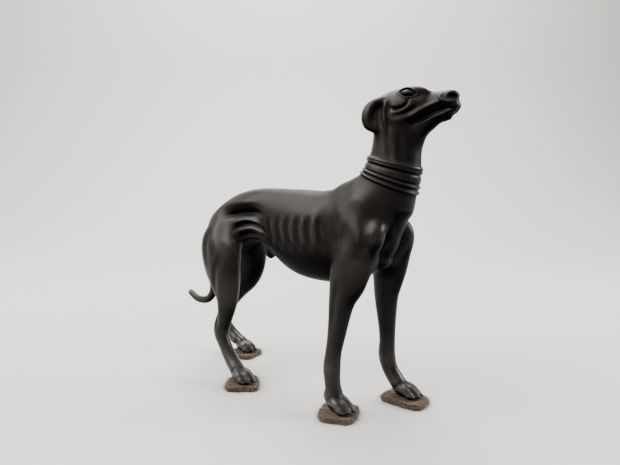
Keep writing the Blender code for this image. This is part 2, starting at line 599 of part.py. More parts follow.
def main():
    for old in list(bpy.data.objects):
        bpy.data.objects.remove(old)
    dog = model_dog()
    fewer = dog.modifiers.new("fewer", "DECIMATE")
    fewer.ratio = CAST_FACES / (2 * len(dog.data.polygons))
    fewer.use_collapse_triangulate = True
    mesh = settle(dog)
    points = get_points(mesh)
    low = points[:, 2] < 0.00012
    points[low, 2] = 0
    points[:, 2] += FELT_THICKNESS + SOLE_GAP
    set_points(mesh, points)
    things = [dog]
    for name, values in PADS.items():
        things.append(pad_object(name, *values))
    corners = np.vstack([get_points(thing.data) for thing in things])
    middle = (corners.min(axis=0) + corners.max(axis=0)) / 2
    for thing in things:
        points = get_points(thing.data)
        points[:, :2] -= middle[:2]
        set_points(thing.data, points)
    print("the point between the front paws stands at x, y:", -middle[0], -middle[1])


main()
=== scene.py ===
# %% [markdown]
# # A cast bronze greyhound on felt pads
#
# The object is a shelf ornament about 17 cm tall. A slim greyhound stands with its head raised.
# It is cast in one with its collar and has a dark brown patina. A square of brown felt, cut by
# hand, is glued under each paw so that the bronze doesn't scratch the furniture.
#
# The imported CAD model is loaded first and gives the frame: the floor is at z = 0, the dog faces
# +X and its left side is +Y. All sizes are in metres.

# %% Load the frame
import math

import bpy
import numpy as np
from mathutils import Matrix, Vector


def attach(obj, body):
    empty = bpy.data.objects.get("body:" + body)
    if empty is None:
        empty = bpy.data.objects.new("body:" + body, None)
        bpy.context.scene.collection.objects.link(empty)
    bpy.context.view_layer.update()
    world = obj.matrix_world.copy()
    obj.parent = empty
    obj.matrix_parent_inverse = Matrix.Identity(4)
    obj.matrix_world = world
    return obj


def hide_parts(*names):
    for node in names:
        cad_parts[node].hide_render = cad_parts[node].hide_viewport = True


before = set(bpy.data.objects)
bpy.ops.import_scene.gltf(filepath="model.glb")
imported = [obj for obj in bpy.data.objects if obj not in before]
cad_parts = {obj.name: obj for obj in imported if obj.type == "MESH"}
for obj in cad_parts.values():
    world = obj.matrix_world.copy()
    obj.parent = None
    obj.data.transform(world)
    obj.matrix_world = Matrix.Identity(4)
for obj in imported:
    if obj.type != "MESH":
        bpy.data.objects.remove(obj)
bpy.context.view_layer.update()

# %% [markdown]
# ## Shares of the height
#
# A sculptor measures an animal against itself, so every place on the dog is a share of its own
# height, in hundredths. x runs forward from the point between the two front paws, y to the
# dog's left and z up from its soles. The whole figure is modelled there and moved to its place
# in the frame at the end.

# %% The sculptor's measures
FIGURE_HEIGHT = 0.1667
FELT_THICKNESS = 0.003
FELT_WIDTH = 0.0195
SOLE_GAP = 0.0003
SHARE = FIGURE_HEIGHT / 100
FRONT_PAWS_AT = (0.055953, 0.000606)
RIGHT, LEFT, BOTH = -1, 1, 0
SIDE, UP = Vector((0, 1, 0)), Vector((0, 0, 1))


def place_of(row):
    """The place of a station in metres."""
    return Vector(row[:3]) * SHARE


def mirrored(stations):
    return [(row[0], -row[1], *row[2:]) for row in stations]


# %% [markdown]
# ## The camera
#
# The photograph was taken from close by with a wide lens, a little below the level of the
# collar, from the dog's front right. A wide lens near a small thing makes the near paws large, so
# the distance matters as much as the angle. The camera's place and lens came from the four feet
# and the upright lines of the room.

# %% Camera
LENS = 448 / 620 * 36
LOOK_DOWN = 3.05
LOOK_ALONG = (-0.6046, 0.7965)
CAMERA_FROM_PAWS = (0.1173, -0.2112, 0.1088)

bpy.ops.object.camera_add(location=(
    CAMERA_FROM_PAWS[0] + FRONT_PAWS_AT[0], CAMERA_FROM_PAWS[1] + FRONT_PAWS_AT[1], CAMERA_FROM_PAWS[2]))
camera = bpy.context.object
camera.name = "camera"
camera.data.sensor_width = 36
camera.data.lens = LENS
camera.data.clip_start = 0.005
gaze = Vector((*LOOK_ALONG, -math.tan(math.radians(LOOK_DOWN))))
camera.rotation_euler = gaze.to_track_quat("-Z", "Y").to_euler()
bpy.context.scene.camera = camera
print("lens:", round(LENS, 2), "mm")

# %% [markdown]
# ## Clay for the body
#
# A bronze starts as clay on a wire. Here each long form, such as the trunk, the neck or a leg, is a
# row of oval rings along a smooth path. One could push such a shape out of a cylinder with extrude
# and rotate, but each ring has to stand square to a curved path, and a small function does that
# more exactly than many turns by hand.

# %% Rings along a path
RING_SIDES = 28
STEPS = 5
DOME_RINGS = 4
DOME_BULGE = 0.55             # share of the end's smaller radius


def catmull(a, b, c, d, t):
    """The value at share t between b and c of a smooth curve through a, b, c and d."""
    return 0.5 * (2 * b + (c - a) * t + (2 * a - 5 * b + 4 * c - d) * t**2
                  + (3 * b - a - 3 * c + d) * t**3)


def smooth_rows(stations, steps):
    """The stations with smooth steps between each two."""
    rows = np.array(stations, float)
    padded = np.vstack([2 * rows[0] - rows[1], rows, 2 * rows[-1] - rows[-2]])
    made = []
    for i in range(1, len(padded) - 2):
        for step in range(steps):
            made.append(catmull(*padded[i - 1:i + 3], step / steps))
    made.append(rows[-1])
    return made


def ring(centre, along, depth, width, egg):
    """The points of one oval ring across the direction along."""
    across = (SIDE - along * SIDE.dot(along)).normalized()
    fore = along.cross(across).normalized()
    points = []
    for i in range(RING_SIDES):
        angle = 2 * math.pi * i / RING_SIDES
        wide = width * (1 + egg * math.sin(angle))
        points.append(centre + across * math.cos(angle) * wide + fore * math.sin(angle) * depth)
    return points


def dome(row, centre, out, along):
    """Shrinking rings and a tip that round off the end of a tube."""
    bulge = DOME_BULGE * min(row[3], row[4]) * SHARE
    rings = []
    for i in range(1, DOME_RINGS):
        lean = math.pi / 2 * i / DOME_RINGS
        shrink = math.cos(lean) * SHARE
        middle = centre + out * bulge * math.sin(lean)
        rings.append(ring(middle, along, row[3] * shrink, row[4] * shrink, row[5]))
    return rings, centre + out * bulge


def clay_tube(name, stations):
    """A closed tube of smooth rings through the stations, rounded off at both ends."""
    rows = smooth_rows(stations, STEPS)
    centres = [place_of(row) for row in rows]
    start_out = (centres[0] - centres[1]).normalized()
    end_out = (centres[-1] - centres[-2]).normalized()
    start_rings, start_tip = dome(rows[0], centres[0], start_out, -start_out)
    end_rings, end_tip = dome(rows[-1], centres[-1], end_out, end_out)
    rings = list(reversed(start_rings))
    for i, row in enumerate(rows):
        before, after = centres[max(i - 1, 0)], centres[min(i + 1, len(rows) - 1)]
        along = (after - before).normalized()
        rings.append(ring(centres[i], along, row[3] * SHARE, row[4] * SHARE, row[5]))
    rings.extend(end_rings)
    points = [p for one in rings for p in one] + [start_tip, end_tip]
    last = (len(rings) - 1) * RING_SIDES
    faces = []
    for i in range(RING_SIDES):
        j = (i + 1) % RING_SIDES
        for k in range(0, last, RING_SIDES):
            faces.append((k + i, k + j, k + RING_SIDES + j, k + RING_SIDES + i))
        faces.append((len(points) - 2, j, i))
        faces.append((len(points) - 1, last + i, last + j))
    mesh = bpy.data.meshes.new(name)
    mesh.from_pydata(points, [], faces)
    tube = bpy.data.objects.new(name, mesh)
    bpy.context.collection.objects.link(tube)
    return tube


# %% [markdown]
# Each station is (x, y, z, depth, width, egg): the middle of a ring, its half depth seen from the
# side, its half width seen from ahead, and how much wider its upper or front half is.

# %% Stations of the trunk, neck, head and tail
TRUNK = [
    (-74.6, 0, 53.2, 6.2, 5.4, 0.0),
    (-70.3, 0, 54.4, 8.6, 8.0, 0.0),
    (-63.6, 0, 56.9, 10.1, 8.9, 0.0),
    (-56.4, 0, 59.5, 10.7, 8.0, 0.05),
    (-49.0, 0, 60.9, 10.4, 7.8, 0.1),
    (-42.0, 0, 60.0, 11.4, 7.8, 0.12),
    (-35.5, 0, 57.6, 13.9, 8.4, 0.15),
    (-28.0, 0, 54.9, 15.7, 9.2, 0.18),
    (-20.0, 0, 53.7, 15.8, 9.6, 0.2),
    (-12.0, 0, 54.2, 15.9, 9.4, 0.2),
    (-5.0, 0, 54.0, 13.2, 8.2, 0.15),
    (0.5, 0, 53.0, 10.4, 6.8, 0.0),
    (3.5, 0, 52.0, 7.0, 5.0, 0.0),
]
NECK = [
    (-12.0, 0, 57.0, 12.4, 8.0, 0.0),
    (-4.6, 0, 61.2, 12.1, 8.8, 0.0),
    (2.3, 0, 66.3, 11.2, 8.6, 0.0),
    (5.3, 0, 71.5, 9.5, 7.8, 0.0),
    (6.95, 0, 77.4, 8.7, 7.0, 0.0),
    (7.5, 0, 83.0, 7.7, 6.5, 0.0),
    (7.4, 0, 88.5, 7.2, 6.1, 0.0),
    (7.0, 0, 92.5, 6.4, 5.4, 0.0),
]
HEAD = [
    (1.6, 0, 93.0, 3.8, 4.0, 0.0),
    (4.3, 0, 93.2, 5.5, 5.6, 0.0),
    (8.0, 0, 93.0, 6.5, 6.1, 0.0),
    (12.0, 0, 92.9, 6.2, 5.7, 0.0),
    (15.6, 0, 93.0, 5.6, 4.6, 0.05),
    (19.0, 0, 92.7, 4.5, 3.7, 0.15),
    (22.5, 0, 93.1, 3.9, 3.2, 0.18),
    (24.6, 0, 93.5, 3.6, 2.9, 0.1),
]
JAW = [
    (7.0, 0, 87.0, 3.6, 4.2, 0.0),
    (12.0, 0, 86.0, 3.8, 3.6, 0.0),
    (16.4, 0, 87.5, 3.0, 2.6, 0.0),
    (20.4, 0, 89.6, 2.0, 2.0, 0.0),
    (23.9, 0, 90.2, 1.9, 1.6, 0.0),
]
TAIL = [
    (-71.8, 0, 57.0, 3.4, 3.0, 0.0),
    (-76.6, 0, 52.8, 3.0, 2.7, 0.0),
    (-78.8, 0, 46.0, 2.5, 2.3, 0.0),
    (-78.6, 0, 38.5, 2.1, 2.0, 0.0),
    (-77.4, 0, 32.6, 1.9, 1.85, 0.0),
    (-78.0, 0, 27.4, 1.8, 1.75, 0.0),
    (-81.8, 0, 24.0, 1.75, 1.65, 0.0),
    (-88.0, 0, 23.6, 1.6, 1.5, 0.0),
    (-93.4, 0, 26.2, 1.5, 1.4, 0.0),
]
SHOULDER = [
    (-12.0, -3.0, 68.6, 5.4, 2.6, 0.0),
    (-7.6, -5.6, 63.6, 6.8, 3.6, 0.0),
    (-3.2, -7.4, 58.4, 6.8, 4.0, 0.0),
    (1.4, -8.4, 53.0, 5.6, 4.0, 0.0),
]
EAR = [
    (6.6, -4.0, 96.0, 1.4, 1.2, 0.0),
    (4.4, -5.2, 95.0, 2.0, 1.3, 0.0),
    (2.3, -6.2, 93.4, 2.6, 1.2, 0.0),
    (1.6, -6.7, 91.2, 2.8, 1.1, 0.0),
    (2.2, -6.6, 88.6, 2.5, 1.0, 0.0),
    (3.6, -6.0, 86.4, 1.4, 0.9, 0.0),
]

# %% Stations of the legs
RIGHT_FORELEG = [
    (-1.6, -8.0, 51.0, 7.0, 4.6, 0.0),
    (-2.9, -8.8, 45.5, 7.1, 4.4, 0.0),
    (-4.4, -9.2, 40.0, 6.5, 4.0, 0.0),
    (-5.9, -9.7, 34.5, 4.6, 3.5, 0.0),
    (-6.7, -10.1, 28.8, 3.7, 3.0, 0.0),
    (-7.4, -10.4, 23.5, 3.2, 2.6, 0.0),
    (-8.3, -10.7, 18.0, 2.8, 2.4, 0.0),
    (-8.8, -10.9, 12.8, 3.0, 2.7, 0.0),
    (-8.4, -11.1, 8.0, 2.65, 2.6, 0.0),
    (-7.4, -11.3, 4.0, 2.9, 2.9, 0.0),
]
LEFT_FORELEG = [
    (2.6, 8.2, 51.5, 6.6, 4.8, 0.0),
    (1.6, 9.1, 45.5, 6.3, 4.5, 0.0),
    (0.3, 9.5, 40.0, 5.7, 4.0, 0.0),
    (-0.5, 9.7, 34.5, 4.5, 3.5, 0.0),
    (-0.6, 10.1, 28.8, 3.8, 3.0, 0.0),
    (-0.5, 10.4, 23.5, 3.2, 2.6, 0.0),
    (-0.5, 10.7, 18.0, 2.9, 2.4, 0.0),
    (-0.7, 10.9, 12.8, 3.1, 2.7, 0.0),
    (0.5, 11.1, 8.2, 2.8, 2.6, 0.0),
    (3.2, 11.3, 4.4, 2.8, 2.9, 0.0),
]
RIGHT_HINDLEG = [
    (-63.2, -5.6, 56.4, 7.6, 4.4, 0.0),
    (-63.9, -7.5, 50.0, 10.7, 5.4, 0.0),
    (-61.9, -8.9, 42.5, 9.8, 5.1, 0.0),
    (-59.0, -10.0, 35.2, 7.3, 4.3, 0.0),
    (-57.4, -10.8, 28.8, 5.1, 3.5, 0.0),
    (-58.3, -11.3, 22.4, 3.8, 2.8, 0.0),
    (-59.9, -11.6, 16.4, 3.5, 2.6, 0.0),
    (-57.3, -12.0, 11.4, 2.7, 2.4, 0.0),
    (-53.6, -12.4, 6.8, 2.6, 2.6, 0.0),
    (-50.4, -12.7, 4.2, 2.6, 2.9, 0.0),
]
LEFT_HINDLEG = [
    (-63.2, 5.6, 56.4, 7.6, 4.4, 0.0),
    (-64.4, 7.4, 49.5, 10.3, 5.2, 0.0),
    (-65.6, 9.0, 42.0, 9.4, 4.9, 0.0),
    (-68.7, 10.3, 35.0, 7.5, 4.2, 0.0),
    (-74.0, 11.2, 28.2, 4.8, 3.3, 0.0),
    (-79.2, 11.8, 22.0, 3.3, 2.7, 0.0),
    (-83.8, 12.1, 16.4, 2.9, 2.6, 0.0),
    (-84.1, 12.4, 11.4, 2.6, 2.4, 0.0),
    (-80.8, 12.7, 7.2, 2.8, 2.7, 0.0),
    (-76.6, 12.9, 4.4, 2.7, 2.9, 0.0),
]
BREAST = [
    (3.6, 0, 68.0, 8.8, 7.0, 0.0),
    (5.1, 0, 64.5, 8.7, 7.0, 0.0),
    (4.6, 0, 61.0, 7.4, 6.2, 0.0),
    (4.4, 0, 57.2, 5.5, 5.4, 0.0),
    (3.7, 0, 53.5, 5.1, 4.9, 0.0),
    (3.2, 0, 50.4, 4.7, 4.4, 0.0),
]

# %% Make the tubes
TUBES = {
    "trunk": TRUNK, "neck": NECK, "breast": BREAST, "head": HEAD, "jaw": JAW, "tail": TAIL,
    "foreleg_right": RIGHT_FORELEG, "foreleg_left": LEFT_FORELEG,
    "hindleg_right": RIGHT_HINDLEG, "hindleg_left": LEFT_HINDLEG,
    "shoulder_right": SHOULDER, "shoulder_left": mirrored(SHOULDER),
    "ear_right": EAR, "ear_left": mirrored(EAR),
}
clay = [clay_tube(name, stations) for name, stations in TUBES.items()]
print(len(clay), "tubes of clay")

# %% [markdown]
# ## Muscles and bones as balls
#
# On the tubes go balls of clay, each pressed to its own three sizes: the points of the shoulders,
# elbows, hip bones, cheeks and brows. A UV sphere that is scaled and turned as it is added does
# this well, because the forms are fused later and only the outside counts.

# %% Balls of clay
def clay_ball(centre, radii, turns):
    """A pressed ball, with turns in degrees about x, y and z."""
    bpy.ops.mesh.primitive_uv_sphere_add(
        segments=24, ring_count=14, radius=1, location=Vector(centre) * SHARE,
        rotation=[math.radians(a) for a in turns], scale=Vector(radii) * SHARE)
    clay.append(bpy.context.object)


MASSES = [
    ((2.8, -0.9, 46.4), (3.7, 2.9, 2.7), (0, 0, 0)),         # end of the breastbone
    ((0.6, -5.2, 48.0), (4.6, 3.4, 5.8), (0, 10, 0)),        # pectoral muscle
    ((1.2, -3.4, 60.0), (8.4, 5.4, 6.6), (0, 20, 0)),        # root of the neck
    ((-0.8, -6.5, 63.2), (7.0, 3.8, 7.2), (0, 30, 0)),       # front of the shoulder blade
    ((-3.2, -4.4, 68.2), (5.4, 3.3, 5.6), (0, 40, 0)),       # side of the withers
    ((3.8, -4.6, 90.6), (2.6, 1.5, 4.4), (0, 0, 0)),         # hollow of the ear
    ((8.6, -3.9, 90.2), (4.6, 2.6, 4.4), (0, 0, 0)),         # cheek
    ((14.6, -3.0, 97.2), (4.4, 1.6, 1.7), (0, 6, 12)),       # brow
    ((24.4, -1.1, 92.2), (2.7, 1.8, 2.3), (0, -8, 5)),       # upper lip
    ((24.7, -0.8, 94.8), (2.2, 1.8, 2.0), (0, 0, 0)),        # nose
    ((11.8, -1.2, 84.3), (4.8, 3.2, 4.8), (0, 36, 0)),       # throat
    ((-62.6, -6.6, 59.6), (2.8, 1.8, 2.6), (0, 0, 0)),       # hip bone
    ((-57.2, -6.8, 55.4), (2.4, 1.6, 2.8), (0, 0, 0)),
]
ODD_MASSES = [
    ((-8.3, -9.6, 43.0), (2.2, 2.0, 4.2), (0, -14, 0)),      # elbows
    ((-4.8, 9.8, 43.4), (2.2, 2.0, 4.2), (0, -10, 0)),
    ((4.9, -8.2, 54.4), (3.2, 3.4, 5.6), (0, 12, 0)),        # points of the shoulders
    ((6.5, 8.0, 53.2), (3.9, 3.6, 7.2), (0, 6, 0)),
    ((-45.0, 0, 46.8), (2.9, 2.1, 3.6), (0, -24, 0)),        # under the groin
]
for centre, radii, turns in MASSES:
    clay_ball(centre, radii, turns)
    clay_ball((centre[0], -centre[1], centre[2]), radii, (-turns[0], turns[1], -turns[2]))
for centre, radii, turns in ODD_MASSES:
    clay_ball(centre, radii, turns)
print(len(clay), "pieces of clay with the muscles")

# %% [markdown]
# ## Paws
#
# A greyhound stands on its toes, and the sculptor cut four of them on each paw, with small claws.
# Each paw is modelled from the same balls and set at its own place and heading.

# %% Paws
# Heel x, y and heading in degrees.
PAWS = {
    "front_right": (-8.4, -11.4, -4.0),
    "front_left": (3.4, 11.4, 4.0),
    "hind_right": (-50.2, -12.8, -3.0),
    "hind_left": (-74.8, 13.0, 3.0),
}
# Toes: sideways, reach ahead of the heel, turn outward.
TOES = [(-2.55, 4.5, -9.0), (-0.95, 6.2, -3.0), (0.95, 6.2, 3.0), (2.55, 4.5, 9.0)]


def clay_paw(heel_x, y, turn):
    """A palm and four toes with claws."""
    yaw = math.radians(turn)
    ahead = Vector((math.cos(yaw), math.sin(yaw)))
    left = Vector((-math.sin(yaw), math.cos(yaw)))

    def place(forward, aside, up):
        flat = Vector((heel_x, y)) + ahead * forward + left * aside
        return flat.x, flat.y, up

    clay_ball(place(1.8, 0, 2.3), (3.6, 3.1, 2.7), (0, 6, turn))
    clay_ball(place(0.2, 0, 3.7), (3.3, 2.7, 2.7), (0, 34, turn))
    for aside, reach, outward in TOES:
        heading = (0, 14, turn + outward)
        clay_ball(place(reach - 1.9, aside * 0.92, 2.5), (2.7, 1.12, 1.75), heading)
        clay_ball(place(reach, aside, 1.35), (1.9, 1.18, 1.5), heading)
        clay_ball(place(reach + 1.9, aside * 1.06, 0.85), (0.8, 0.45, 0.6), heading)


for values in PAWS.values():
    clay_paw(*values)
print(len(clay), "pieces of clay with the paws")

# %% [markdown]
# ## Fusing the clay
#
# The pieces are joined and a voxel remesh makes one skin of them, as thumbs do with clay. Its
# voxels are half a millimetre, finer than anything the eye picks out on a piece this small.

# %% Join and fuse
FINE_GRAIN = 0.00050


def pick(*things):
    """Selects only these things and makes the first one active."""
    bpy.ops.object.select_all(action="DESELECT")
    for thing in things:
        thing.select_set(True)
    bpy.context.view_layer.objects.active = things[0]


def apply_modifier(thing, kind, **values):
    """Adds a modifier, sets its values and applies it."""
    pick(thing)
    modifier = thing.modifiers.new(kind.lower(), kind)
    for name, value in values.items():
        setattr(modifier, name, value)
    bpy.ops.object.modifier_apply(modifier=modifier.name)


pick(*clay)
bpy.ops.object.transform_apply(location=True, rotation=True, scale=True)
bpy.ops.object.join()
dog = bpy.context.object
dog.name = "greyhound_bronze"
bpy.ops.object.mode_set(mode="EDIT")
bpy.ops.mesh.select_all(action="SELECT")
bpy.ops.mesh.normals_make_consistent(inside=False)
bpy.ops.object.mode_set(mode="OBJECT")
apply_modifier(dog, "REMESH", mode="VOXEL", voxel_size=FINE_GRAIN)
print("fused skin:", len(dog.data.polygons), "faces")

# %% [markdown]
# ## Smoothing by place
#
# Where two pieces meet there is still a crease. A Smooth modifier would round the toes as much as
# the back, so each point gets its own softness here: the body is rubbed smooth, and the head,
# ears, feet and tail keep their edges.

# %% Rub the skin smooth
RUBBING_ROUNDS = 150
BODY_SOFTNESS, LEG_SOFTNESS, HEAD_SOFTNESS, PAW_SOFTNESS = 0.52, 0.1, 0.05, 0.02


def get_points(mesh):
    flat = np.empty(len(mesh.vertices) * 3)
    mesh.vertices.foreach_get("co", flat)
    return flat.reshape(-1, 3)


def set_points(mesh, points):
    mesh.vertices.foreach_set("co", points.ravel())
    mesh.update()


def get_normals(mesh):
    flat = np.empty(len(mesh.vertices) * 3)
    mesh.vertex_normals.foreach_get("vector", flat)
    return flat.reshape(-1, 3)


def relaxed(mesh, points, softness, rounds):
    """The points after each has moved toward the middle of its neighbours, by its softness."""
    edges = np.empty(len(mesh.edges) * 2, int)
    mesh.edges.foreach_get("vertices", edges)
    a, b = edges.reshape(-1, 2).T
    count = len(points)
    neighbours = np.bincount(a, minlength=count) + np.bincount(b, minlength=count)
    points = points.copy()
    for _ in range(rounds):
        total = np.empty_like(points)
        for axis in range(3):
            total[:, axis] = (np.bincount(a, points[b, axis], count)
                              + np.bincount(b, points[a, axis], count))
        points += (total / neighbours[:, None] - points) * softness[:, None]
    return points


def ramp(values, low, high):
    """0 below low, 1 above high, smooth between."""
    t = np.clip((values - low) / (high - low), 0, 1)
    return t * t * (3 - 2 * t)


def softness_of(points):
    """How much each place is smoothed: the body most, the legs less, the head and paws least."""
    x, y, z = (points / SHARE).T
    below_head = 1 - ramp(z, 84, 88)
    leg = ramp(z, 3.2, 7) * below_head
    body = ramp(z, 34, 44) * below_head
    tail = 1 - ramp(x, -77, -74)
    keen = np.where(z > 50, HEAD_SOFTNESS, PAW_SOFTNESS)
    return keen + (LEG_SOFTNESS - keen) * leg + (BODY_SOFTNESS - LEG_SOFTNESS) * body * (1 - 0.6 * tail)


skin_points = get_points(dog.data)
set_points(dog.data, relaxed(dog.data, skin_points, softness_of(skin_points), RUBBING_ROUNDS))
print("rubbed smooth in", RUBBING_ROUNDS, "rounds")

# %% [markdown]
# ## Chisel strokes
#
# The ribs, the folds of the flank, the mouth and the creases of the legs were cut with a tool. A
# stroke is a path seen from the side, with a width and a height: below zero it is a groove, above
# zero a ridge. Points near the path move along their own normals, most in the middle of the
# stroke. The Displace modifier could do this with a painted texture, but a path is easier to
# measure and to mend.

# %% Stroke tool
STROKE_FADE = 0.35            # share of a stroke's length over which it fades at each end
RIB_COUNT = 5
RIB_FRONT, RIB_STEP = -15.2, 4.7
RIB_GROOVE, RIB_RIDGE = (0.75, -0.55), (0.8, 0.28)       # width and height of a stroke


def path_distance(flat, path, steps=8):
    """For each flat point, its distance to a smooth path and the share of the way along it."""
    line = np.array(smooth_rows(path, steps))
    best = np.full(len(flat), 1e9)
    along = np.zeros(len(flat))
    for i, (a, b) in enumerate(zip(line, line[1:])):
        way = b - a
        t = np.clip((flat - a) @ way / max(way @ way, 1e-12), 0, 1)
        gap = flat - a - t[:, None] * way
        square = np.einsum("ij,ij->i", gap, gap)
        nearer = square < best
        best[nearer] = square[nearer]
        along[nearer] = (i + t[nearer]) / (len(line) - 1)
    return np.sqrt(best), along


def add_stroke(relief, flat, hold, width, height, path):
    """Adds one stroke, fading toward both ends, to the relief, as much as each point holds it."""
    path = np.array(path, float)
    low, high = path.min(axis=0) - 3 * width, path.max(axis=0) + 3 * width
    near = (hold > 0) & np.all((flat > low) & (flat < high), axis=1)
    distance, along = path_distance(flat[near], path)
    fade = ramp(np.minimum(along, 1 - along), 0, STROKE_FADE)
    relief[near] += height * fade * hold[near] * np.exp(-(distance / width)**2)


def add_ribs(relief, flat, hold):
    """Grooves between the ribs and low ridges on them."""
    for i in range(2 * RIB_COUNT + 1):
        x = RIB_FRONT - RIB_STEP * i / 2
        path = [(x + 0.3, 61.4), (x, 58.6), (x, 55.2), (x + 0.5, 51.6), (x + 1.4, 48.2)]
        if i % 2:
            add_stroke(relief, flat, hold, RIB_RIDGE[0], RIB_RIDGE[1], path)
        else:
            add_stroke(relief, flat, hold, RIB_GROOVE[0], RIB_GROOVE[1], path)


# %% [markdown]
# Each stroke is (side, least distance from the middle of the dog, width, height, path in x and z).

# %% Strokes on the sides
STROKES = [
    (BOTH, 3.0, 2.6, -1.5, [(-67.0, 60.2), (-62, 62.0), (-54, 62.8), (-47, 62.4), (-40.0, 60.2)]),
    (BOTH, 3.0, 1.1, -1.8, [(-64.0, 60.4), (-59, 61.3), (-53, 61.8), (-46.5, 61.8), (-40.0, 60.6)]),
    (BOTH, 3.0, 1.4, 0.6, [(-65.0, 64.0), (-58, 65.2), (-51, 65.6), (-43.0, 65.2)]),
    (BOTH, 2.0, 0.8, 0.75, [(-58.0, 56.4), (-54.6, 58.4), (-49.6, 59.3), (-44.6, 58.3), (-39.0, 55.6)]),
    (BOTH, 2.0, 0.65, -1.0, [(-57.4, 54.6), (-53.6, 56.6), (-48.6, 57.5), (-43.8, 56.3), (-39.4, 53.6)]),
    (BOTH, 2.0, 0.8, 0.75, [(-56.6, 53.0), (-53.0, 55.1), (-48.0, 55.9), (-43.4, 54.5), (-39.4, 51.8)]),
    (BOTH, 2.0, 0.65, -1.0, [(-56.0, 51.2), (-52.6, 53.2), (-48.4, 53.8), (-44.2, 52.5), (-39.8, 49.8)]),
    (BOTH, 2.0, 0.8, 0.6, [(-55.4, 49.6), (-52.4, 51.6), (-48.8, 52.1), (-44.2, 50.8), (-39.8, 48.2)]),
    (BOTH, 3.0, 1.5, -0.35, [(-63.0, 60.0), (-61.4, 56.6), (-59.8, 51.4), (-57.8, 47.2), (-55.6, 42.0)]),
    (BOTH, 3.0, 1.3, 0.35, [(-59.4, 57.4), (-56.8, 53.2), (-53.9, 47.7), (-53.0, 42.3)]),
    (BOTH, 3.0, 1.8, -0.45, [(-66.5, 58.0), (-67.5, 52.0), (-67.0, 46.0), (-64.0, 38.0)]),
    (BOTH, 3.0, 2.0, -0.35, [(-15.4, 66.0), (-14.0, 61.0), (-13.2, 54.0), (-12.6, 47.0), (-11.0, 39.0)]),
    (BOTH, 3.0, 1.6, -0.4, [(-3.4, 60.0), (-6.2, 52.0), (-8.8, 43.0)]),
    (BOTH, 5.0, 1.6, -0.5, [(1.8, 63.0), (2.9, 57.5), (2.6, 52.0), (1.0, 46.5)]),
    (BOTH, 1.5, 1.0, -0.45, [(6.6, 90.0), (8.0, 82.0), (9.6, 76.0)]),
    (BOTH, 1.5, 1.1, -0.5, [(10.6, 87.0), (11.8, 81.0), (12.6, 75.0)]),
    (BOTH, 2.5, 0.6, 0.55, [(6.9, 97.0), (6.5, 91.0), (7.2, 84.0)]),
    (BOTH, 2.5, 0.7, -0.45, [(8.1, 96.0), (7.8, 91.0), (8.4, 85.0)]),
    (RIGHT, 8.0, 1.1, -0.7, [(-61.6, 31.0), (-60.8, 24.0), (-59.8, 16.0)]),
    (LEFT, 8.0, 1.1, -0.7, [(-75.4, 30.0), (-79.0, 23.0), (-81.6, 16.0)]),
    (RIGHT, 6.0, 1.4, -0.5, [(-58.0, 47.0), (-60.8, 39.0), (-60.6, 29.0)]),
    (LEFT, 6.0, 1.4, -0.5, [(-64.0, 47.0), (-69.0, 39.0), (-74.0, 31.0)]),
    (RIGHT, 6.5, 1.2, -0.45, [(-4.6, 43.0), (-7.0, 33.0), (-8.4, 22.0)]),
    (LEFT, 6.5, 1.2, -0.45, [(-1.0, 43.0), (-1.2, 33.0), (-0.8, 22.0)]),
    (BOTH, 0.0, 0.45, -0.65, [(12.6, 87.6), (15.4, 88.6), (18.4, 89.7), (21.6, 90.7), (25.0, 91.2),
                              (30.0, 91.2)]),
    (BOTH, 0.0, 0.45, 0.25, [(13.8, 87.0), (18, 88.7), (21.2, 89.8), (26.0, 90.4)]),
    (BOTH, 0.6, 0.7, 0.5, [(11.6, 88.6), (15.0, 90.4), (19.8, 92.6), (24.8, 93.6)]),
    (BOTH, 0.6, 1.1, -0.7, [(13.6, 88.6), (17.4, 89.9), (21.4, 91.3), (26.8, 91.8)]),
    (BOTH, 2.0, 0.5, -0.7, [(14.0, 95.8), (12.8, 93.3), (10.2, 92.4), (7.2, 93.4)]),
    (BOTH, 2.0, 0.8, -0.5, [(17.4, 94.0), (14.6, 91.8), (11.6, 90.6), (7.6, 90.2)]),
    (BOTH, 1.4, 1.4, -0.3, [(17.6, 95.6), (20.0, 95.3), (23.0, 95.2)]),
    (BOTH, 0.9, 0.65, -1.1, [(24.2, 95.2), (25.6, 94.7), (27.4, 94.2)]),
    (BOTH, 0.9, 0.5, 0.5, [(22.3, 96.8), (22.3, 94.4), (24.0, 93.1), (26.8, 93.2)]),
    (BOTH, 4.6, 1.2, -1.5, [(6.2, 95.4), (4.4, 93.2), (3.7, 90.6), (3.9, 86.4)]),
]

# %% Strokes that only the bronze has
FINE_STROKES = [
    (BOTH, 3.0, 0.35, -0.25, [(-50.0, 61.6), (-46.0, 60.6), (-43.6, 58.8)]),
]

# %% [markdown]
# ## Eyes, collar and chest
#
# The eye is an almond with a lid round it, measured from its own middle. The collar is a broad
# band between rounded edges, and its height runs from one tilted plane to another, so that it is
# wider at the throat than at the nape. The chest is cut from the front.

# %% Eyes, collar and chest
EYE = (13.0, 96.9, 2.1, 0.95, -14.0)      # middle x, z, half length, half height, tilt
COLLAR_FOOT = ((-4.9, 75.2), (14.9, 66.9))
COLLAR_HEAD = ((-2.2, 80.4), (15.8, 75.6))
# Collar profile: share of its height, width of the rounding, height.
COLLAR_RIDGES = [(0.05, 0.045, 0.32), (0.27, 0.045, 0.34), (0.355, 0.04, -0.32), (0.16, 0.05, -0.35),
                 (0.69, 0.04, -0.42), (0.78, 0.05, 0.2), (0.90, 0.06, 0.25)]


